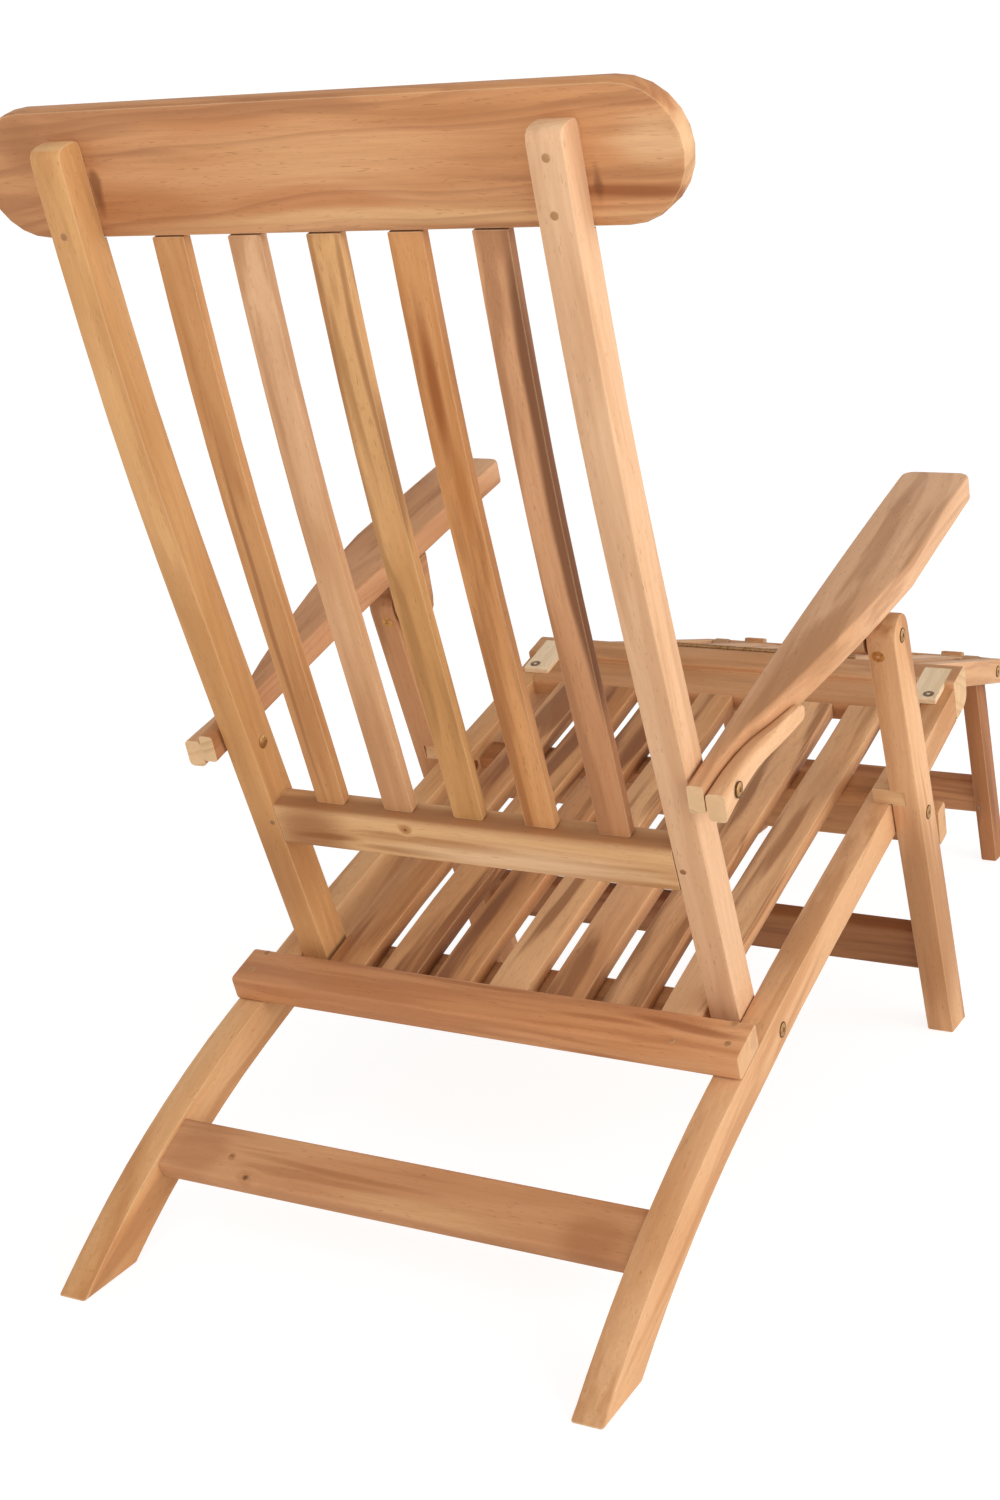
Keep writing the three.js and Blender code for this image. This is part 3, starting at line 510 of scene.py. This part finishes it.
back_tones = [
    ("DDAA76", "CC9560", "AA6F3E", 0.5),
    ("E4B68C", "D3A174", "B07C52", 0.5),
    ("DDAA72", "CB965C", "A0703E", 0.6),
    ("DFA66E", "CB8E56", "92582C", 0.6),
    ("D6A074", "C48C60", "925E3A", 0.5),
]
back_stains = {
    1: [((0.1485, 0.50, 0.56), (0.30, 0.08, 0.003), "8C5530", 0.6)],
    3: [
        ((-0.0155, 0.50, 0.60), (0.30, 0.08, 0.003), "8E5A32", 0.65),
        ((0.0080, 0.58, 0.80), (0.10, 0.05, 0.004), "9A6438", 0.6),
    ],
    4: [
        ((-0.0660, 0.568, 0.752), (0.080, 0.05, 0.008), "95521F", 0.85),
        ((-0.0720, 0.545, 0.672), (0.060, 0.05, 0.008), "B06E34", 0.7),
        ((-0.0855, 0.50, 0.66), (0.30, 0.08, 0.003), "8E5A32", 0.5),
    ],
    5: [((-0.1570, 0.50, 0.66), (0.32, 0.10, 0.007), "6E4226", 0.85)],
}
for i, (light, mid, dark, streak) in enumerate(back_tones, start=1):
    wood = teak(
        f"back_slat_{i}_teak",
        back_grain,
        60 + i,
        light,
        mid,
        dark,
        streak=streak,
        stains_and_shade=back_stains.get(i, ()),
    )
    dress(f"back_slat_{i}", wood)


# Headboard
# One wide teak plank with half-round ends, let into the front edges of the stiles and screwed
# there. It is flat-sawn, so its rear face shows arched growth rings and darker heart streaks.
heart_stains_and_shade = [
    ((-0.025, 0.627, 0.932), (0.130, 0.05, 0.026), "DCAA78", 0.40),
    ((0.146, 0.617, 0.897), (0.075, 0.05, 0.016), "B87644", 0.70),
    ((0.011, 0.616, 0.894), (0.090, 0.05, 0.014), "C07E4C", 0.65),
    ((-0.131, 0.637, 0.962), (0.120, 0.05, 0.013), "B57A4A", 0.65),
    ((0.252, 0.633, 0.949), (0.035, 0.05, 0.028), "A9744A", 0.75),
    ((0.080, 0.637, 0.960), (0.090, 0.05, 0.010), "C08352", 0.60),
    ((-0.265, 0.618, 0.902), (0.085, 0.05, 0.007), "965830", 0.90),
    ((-0.282, 0.629, 0.938), (0.045, 0.05, 0.026), "E2B78A", 0.75),
    ((-0.089, 0.613, 0.884), (0.240, 0.05, 0.006), "E6B884", 0.75),
    # Painted shade: the two narrow dark bands beside the stiles stand in for shadow in the notches
    # where the headboard meets them.
    ((0.1920, 0.620, 0.912), (0.006, 0.012, 0.045), "6E4226", 0.65),
    ((-0.2340, 0.620, 0.920), (0.005, 0.012, 0.045), "6E4226", 0.65),
]
dress(
    "headboard",
    teak(
        "headboard_teak",
        cross_grain,
        71,
        "DCA678",
        "CE9564",
        "9A6542",
        streak=0.45,
        figure=0.34,
        stains_and_shade=heart_stains_and_shade,
    ),
)
plug("stile_plug_left", (0.2130, 0.6394, 0.8752), (0, 0.95, -0.3), "back_frame")
plug("stile_plug_right", (-0.2110, 0.6415, 0.8820), (0, 0.95, -0.3), "back_frame")
plug(
    "stile_plug_top_right",
    (-0.2120, 0.6535, 0.9207),
    (0, 0.96, -0.29),
    "back_frame",
    tones=("CFA275", "C09266", "A57A50"),
)
for side, sign in both_sides:
    heart = (sign * 0.2037, 0.4262, 0.3394)
    plug(f"rail_plug_{side}", heart, (0, 0.92, -0.4), "back_frame", 0.0030)


# Arms, cleats and pivot blocks
# Each arm is a thick board, wide in front and drawn in beside the stile. A curved cleat
# outside its rear end and a rounded block under its front end take the brass bolts.
arm_grain = (0, 0.96, -0.27)
for i, (side, sign) in enumerate(both_sides):
    tones = (("D29C70", "C08858", "A06B42"), ("DEB088", "CD9A6E", "A87850"))[i]
    pale = [((sign * 0.270, -0.120, 0.600), (0.090, 0.08, 0.08), "E6BA92", 0.6)]
    wood = teak(
        f"arm_{side}_teak",
        arm_grain,
        81 + i,
        *tones,
        streak=0.6,
        figure=0.3,
        end=0.8,
        stains_and_shade=pale,
    )
    dress(f"arm_{side}", wood)
    dress(
        f"arm_cleat_{side}",
        teak(f"cleat_{side}_teak", arm_grain, 83 + i, "EEC69C", "E0B286", "B98254", end=0.6),
    )
    dress(
        f"arm_block_{side}",
        teak(f"block_{side}_teak", arm_grain, 85 + i, "CB9766", "B98052", "96603A"),
    )


# Front legs
# Straight teak legs outside the side rails, round at the top and cut to the floor, with a
# stretcher tenoned between them. A small block let into each leg rests on the side rail.
leg_grain = (0, 0.397, 0.918)
for i, (side, sign) in enumerate(both_sides):
    tones = (("CC9668", "BC8355", "9A643B"), ("E6B688", "D8A474", "A86F42"))[i]
    # Painted shade: a darker patch over the low part of each leg, where less light reaches.
    shade = [((sign * 0.272, -0.030, 0.120), (0.160, 0.08, 0.08), "A06A3C", 0.65)]
    dress(
        f"front_leg_{side}",
        teak(f"front_leg_{side}_teak", leg_grain, 91 + i, *tones, streak=0.6, stains_and_shade=shade),
    )
    dress(
        f"leg_stop_block_{side}",
        teak(f"stop_block_{side}_teak", cross_grain, 93 + i, "DFB585", "CFA06E", "B28253"),
    )
# The stretcher's dark tones are painted shade for its place under the seat.
dress(
    "front_leg_stretcher",
    teak("leg_stretcher_teak", cross_grain, 95, "9C6840", "8C5834", "6C4024", streak=0.6),
)


# Leg rest and its legs
# A light teak frame with five short slats, hinged to the front rail. Its own legs turn on
# brass bolts inside the frame and fold up under the slats.
rest_grain = (0, 0.98, 0.19)
for i, (side, _) in enumerate(both_sides):
    dress(
        f"rest_rail_{side}",
        teak(f"rest_rail_{side}_teak", rest_grain, 101 + i, "DCAC80", "CC9868", "B07A50"),
    # The rest legs' dark tones are painted shade for their place low under the leg rest.
    )
    dress(
        f"rest_leg_{side}",
        teak(f"rest_leg_{side}_teak", (0, 0.38, 0.92), 103 + i, "B2774C", "A0683E", "7C4C2C"),
    )
dress("rest_rear_rail", teak("rest_rear_teak", cross_grain, 105, "CB9669", "B98054", "98633C"))
dress("rest_front_rail", teak("rest_front_teak", cross_grain, 106, "D8AA7C", "C69264", "A8744A"))
dress(
    "rest_leg_stretcher",
    teak("rest_stretcher_teak", cross_grain, 107, "C0875A", "AC7248", "8A5434", streak=0.6),
)
for i in range(5):
    dress(
        f"rest_slat_{i + 1}",
        teak(f"rest_slat_{i + 1}_teak", rest_grain, 111 + i, *slat_tones[(i * 3 + 1) % 7]),
    )


# Bolts, screws, nails and hinge
# Every pivot is a brass barrel bolt with a low domed head in a sunk ring; the ring and a socket
# disc on the head are darker brass, painted shade of the counterbore and the socket. Steel
# screws hold the end caps and steel nails the leg rest's stretcher. Brass pins cross the tops
# of the front legs, and a brass hinge carries the leg rest.


def metal(name, seed, dull, bright, tarnished):
    """Handled metal, bright in patches and clouded between them."""
    cells, chance = 260, random.Random(seed)
    finish = Finish(bpy.data.materials.new(name))
    spot = finish.add("ShaderNodeTexCoord").outputs["Object"]
    moved = finish.add(
        "ShaderNodeVectorMath",
        {"operation": "MULTIPLY_ADD"},
        {0: spot, 1: (cells,) * 3, 2: (chance.uniform(-9, 9),) * 3},
    )
    cloud = finish.noise(moved.outputs[0], 4.0, 0.6)
    tarnish = finish.step(cloud, 0.42, 0.72)
    bump = finish.add(
        "ShaderNodeBump", None, {"Height": cloud, "Strength": 0.15, "Distance": 0.0002}
    )
    finish.shade(
        {
            "Base Color": finish.blend(tarnish, linear(bright), linear(tarnished)),
            "Metallic": 1.0,
            "Roughness": 0.28 + dull + tarnish * 0.25,
            "Normal": bump.outputs[0],
        }
    )
    return finish.material


bolt_brass = metal("bolt_brass", 5, 0.05, "C89A62", "936A40")
recess_shade_brass = metal("recess_shade_brass", 6, 0.5, "8A6444", "684A32")
dowel_brass = metal("dowel_brass", 7, 0.1, "D29A58", "A06C3C")
cap_steel = metal("cap_steel", 9, 0.2, "A88E74", "7E6852")
pivots = (
    "back_pivot_bolt",
    "leg_pivot_bolt",
    "arm_rear_bolt",
    "arm_front_bolt",
    "rest_leg_bolt",
)
# The sink ring round each head and the socket disc on its crown are darker brass: painted shade of
# the counterbore gap and the socket.
sink_width, sink_foot = 0.0010, -0.0018
socket = [(0, 0.00006), (0.0021, 0.00006), (0.0023, -0.0004), (0, -0.0004)]
for kind in pivots:
    for side, sign in both_sides:
        bolt = dress(f"{kind}_{side}", bolt_brass)
        low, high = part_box(bolt.name)
        middle = (low + high) / 2
        centre = (sign * max(abs(low.x), abs(high.x)), middle.y, middle.z)
        head = (high.z - low.z) / 2
        outer = head + sink_width
        foot = (head, sink_foot)
        sink = [foot, (head, -0.0010), (outer, -0.0008), (outer, sink_foot), foot]
        for part, profile in (("sink", sink), ("socket", socket)):
            turned(
                f"{kind}_{part}_{side}",
                profile,
                centre,
                (sign, 0, 0),
                bolt["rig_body"],
                recess_shade_brass,
            )
dress("rest_hinge", metal("hinge_brass", 8, 0.3, "BC9468", "94704C"))

screw_head = [
    (0, -0.0006),
    (0.0012, -0.0006),
    (0.0013, 0.0003),
    (0.0030, 0.0003),
    (0.0040, 0.0001),
    (0.0040, -0.0012),
    (0, -0.0012),
]
# Each small head: name, width against the screw head, place on the left, way out, body, metal.
small_heads = (
    ("cap_screw", 1.5, (0.2340, -0.1740, 0.3520), (0, 0.29, 0.96), "seat_frame", cap_steel),
    ("leg_dowel", 1.55, (0.2662, 0.0984, 0.4549), (0, 0.913, -0.408), "front_legs", dowel_brass),
    ("rest_nail", 0.6, (0.1630, -0.6467, 0.0815), (0, 0.93, -0.38), "rest_legs", cap_steel),
)
for side, sign in both_sides:
    for name, width, (x, y, z), outward, body, metal_finish in small_heads:
        profile = [(radius * width, height) for radius, height in screw_head]
        turned(f"{name}_{side}", profile, (sign * x, y, z), outward, body, metal_finish)


# Studio: floor, light and camera
# A seamless pale floor, a broad soft light from the camera's right, a fill from above, and
# the camera at the photograph's place and viewing angle.


def grey(value):
    return (value, value, value, 1)


floor_reach, floor_level = 9.0, -0.0006
floor_corners = ((-1, -1), (1, -1), (1, 1), (-1, 1))
floor_mesh = bpy.data.meshes.new("floor")
floor_mesh.from_pydata(
    [(x * floor_reach, y * floor_reach, floor_level) for x, y in floor_corners],
    [],
    [(0, 1, 2, 3)],
)
floor = bpy.data.objects.new("floor", floor_mesh)
bpy.context.scene.collection.objects.link(floor)
paper = Finish(bpy.data.materials.new("pale_paper"))
seen = paper.add("ShaderNodeLightPath").outputs["Is Camera Ray"]
paper.shade(
    {
        "Base Color": grey(0.3),
        "Roughness": 0.9,
        "Emission Color": paper.blend(seen, (0.52, 0.51, 0.5, 1), grey(0.8)),
        "Emission Strength": 1.0,
    }
)
floor_mesh.materials.append(paper.material)

bpy.context.scene.world = bpy.data.worlds.new("studio")
room = Finish(bpy.context.scene.world, "Background")
ray = room.add("ShaderNodeTexCoord").outputs["Generated"]
height = room.step(room.dot(ray, (0, 0, 1)), 0.12, 0.92)
walls = room.blend(height, grey(1.42), grey(0.25))
seen = room.add("ShaderNodeLightPath").outputs["Is Camera Ray"]
room.shade({"Color": room.blend(seen, walls, grey(1.05))})
bpy.context.scene.view_settings.view_transform = "Standard"


def softbox(name, place, target, width, power):
    light = bpy.data.lights.new(name, "AREA")
    light.shape = "SQUARE"
    light.size = width
    light.energy = power
    lamp = bpy.data.objects.new(name, light)
    lamp.location = place
    aim = Vector(target) - Vector(place)
    lamp.rotation_euler = aim.to_track_quat("-Z", "Y").to_euler()
    bpy.context.scene.collection.objects.link(lamp)


softbox("key", (-3.0, 0.5, 1.3), (0, 0.1, 0.5), 2.4, 50)
softbox("top", (-0.6, 2.4, 2.4), (0, 0, 0.5), 1.6, 16)

# Camera: place in metres, angles in degrees; lens length and optical centre in photo pixels.
camera_place = (-0.8845, 2.01234, 0.9227)
yaw, pitch, roll = (math.radians(a) for a in (27.207, 14.196, -2.222))
photo_width, photo_height = 1000, 1500
lens_pixels, centre_x, centre_y = 2174.34, 532.887, 705.923
reach = math.cos(pitch)
forward = Vector((math.sin(yaw) * reach, -math.cos(yaw) * reach, -math.sin(pitch)))
level = Vector((-math.cos(yaw), -math.sin(yaw), 0))
upright = level.cross(forward)
right = math.cos(roll) * level + math.sin(roll) * upright
above = -math.sin(roll) * level + math.cos(roll) * upright
camera_data = bpy.data.cameras.new("camera")
camera_data.sensor_width = 36
camera_data.lens = camera_data.sensor_width * lens_pixels / photo_height
camera_data.shift_x = (photo_width / 2 - centre_x) / photo_height
camera_data.shift_y = (centre_y - photo_height / 2) / photo_height
camera = bpy.data.objects.new("camera", camera_data)
turn = Matrix((right, above, -forward)).transposed().to_4x4()
camera.matrix_world = Matrix.Translation(camera_place) @ turn
bpy.context.scene.collection.objects.link(camera)
bpy.context.scene.camera = camera
